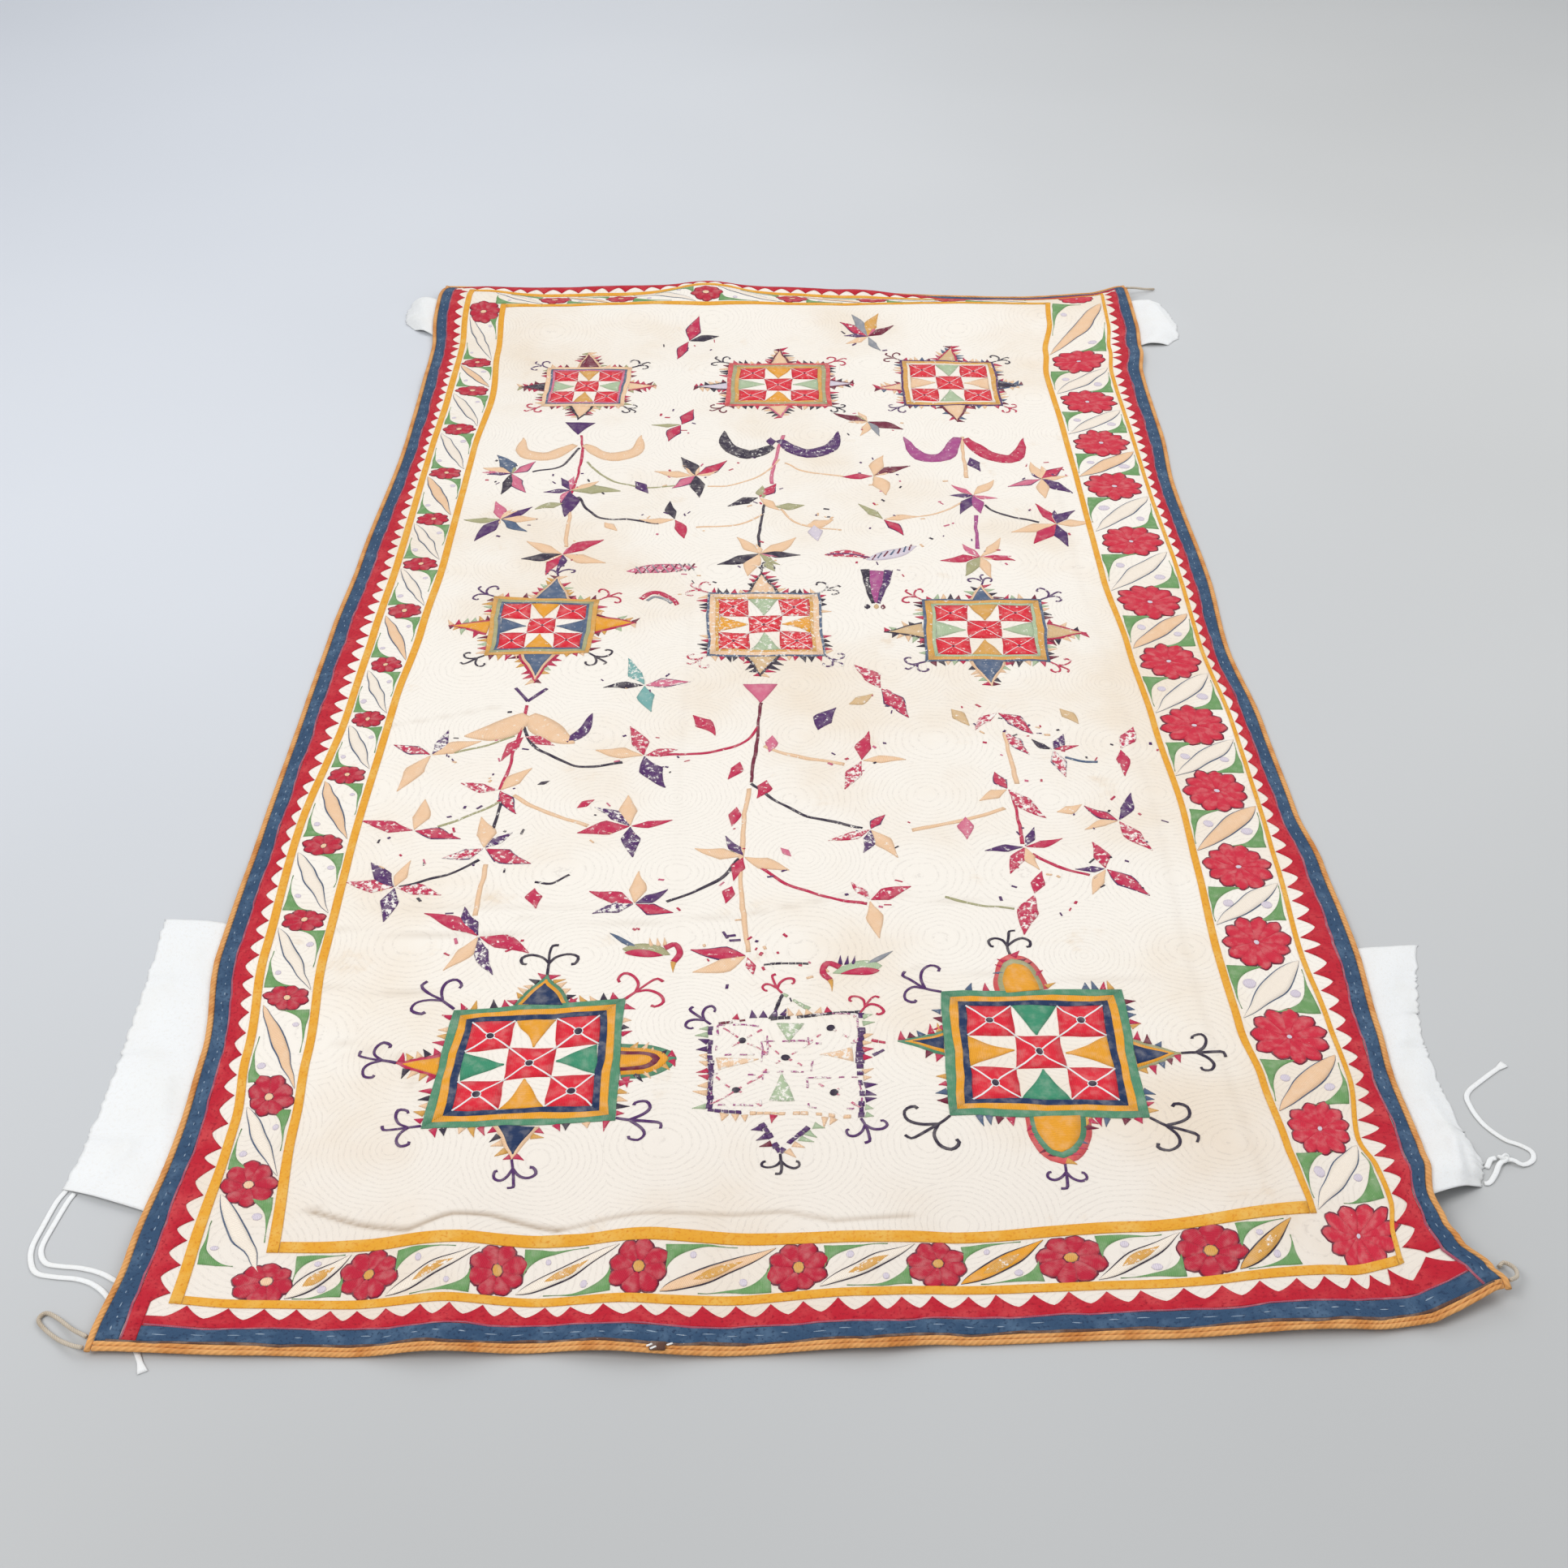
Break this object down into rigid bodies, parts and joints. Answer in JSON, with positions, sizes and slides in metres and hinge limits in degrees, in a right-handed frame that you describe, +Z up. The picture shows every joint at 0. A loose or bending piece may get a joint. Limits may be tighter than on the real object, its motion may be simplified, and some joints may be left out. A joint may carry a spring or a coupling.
{
  "type": "embroidered quilted textile hanging",
  "caption": "Quilted cotton hanging laid flat, with embroidered field, flowered border, yellow tapes, toothed red and blue bands, rolled edging, white side flaps with ties and corner cords.",
  "frame": {"origin": "on the floor under the middle of the laid cloth, on its flat underside", "axes": "+X across the cloth to its right-hand edge, +Y along it to the far end, +Z up out of its face"},
  "size_m": [1.6013, 2.6331, 0.0391],
  "materials": {
    "ground_cotton": "washed quilted cotton with worn embroidery",
    "blue_cotton": "plain woven cotton, running stitched",
    "red_cotton": "plain woven cotton with folded teeth",
    "yellow_tape": "narrow woven tape",
    "orange_roll": "rolled cotton edging",
    "white_cotton": "soft washed cotton",
    "beige_cord": "twisted cotton cord"
  },
  "bodies": {
    "root": {"ground_cloth": "ground_cotton", "blue_left": "blue_cotton", "blue_right": "blue_cotton", "blue_near": "blue_cotton", "blue_far": "blue_cotton", "red_left": "red_cotton", "red_right": "red_cotton", "red_near": "red_cotton", "red_far": "red_cotton", "outer_tape_left": "yellow_tape", "outer_tape_right": "yellow_tape", "outer_tape_near": "yellow_tape", "outer_tape_far": "yellow_tape", "inner_tape_left": "yellow_tape", "inner_tape_right": "yellow_tape", "inner_tape_near": "yellow_tape", "inner_tape_far": "yellow_tape", "piping_left": "orange_roll", "piping_right": "orange_roll", "piping_near": "orange_roll", "piping_far": "orange_roll", "flap_near_left": "white_cotton", "flap_near_right": "white_cotton", "flap_far_left": "white_cotton", "flap_far_right": "white_cotton", "tie_left_long": "white_cotton", "tie_left_short": "white_cotton", "tie_right_root": "white_cotton", "tie_right_second": "white_cotton", "tie_right_end": "white_cotton", "tie_knot": "white_cotton", "loop_near_left": "beige_cord", "loop_near_right": "beige_cord", "string_far_right": "beige_cord"}
  },
  "joints": []
}
